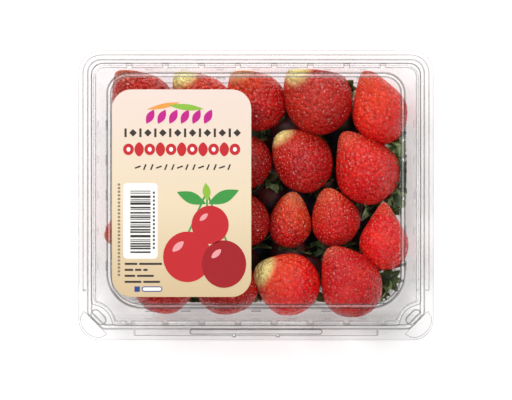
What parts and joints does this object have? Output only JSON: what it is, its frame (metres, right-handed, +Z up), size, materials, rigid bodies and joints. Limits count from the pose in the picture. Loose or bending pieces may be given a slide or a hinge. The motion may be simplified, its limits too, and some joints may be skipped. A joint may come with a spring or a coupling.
{
  "type": "punnet of strawberries",
  "caption": "Clear hinged punnet with a deep tray, a shallow snap-shut lid and a paper label, filled with one layer of ripe strawberries.",
  "frame": {"origin": "on the surface the punnet stands on, under the middle of its box", "axes": "+X along the punnet's long side, to the right as the label is read; +Y towards the hinge at the back; +Z up"},
  "size_m": [0.174, 0.142, 0.0463],
  "materials": {
    "clear_film": "clear thermoformed PET sheet, glossy",
    "soaker_pad": "dark blue absorbent pad, matt and embossed",
    "berry_skin": "moist dimpled fruit skin, softly glossy",
    "label_paper": "coated printed paper, satin"
  },
  "bodies": {
    "tray": {"base_tray": "clear_film", "soaker_pad": "soaker_pad", "berry_heap": "berry_skin"},
    "lid": {"lid": "clear_film", "label": "label_paper"}
  },
  "joints": [
    {"name": "lid_hinge", "type": "hinge", "parent": "tray", "child": "lid", "pos_m": [0, 0.07115, 0.03015], "axis": [-1, 0, 0], "range_deg": [0, 180]}
  ]
}
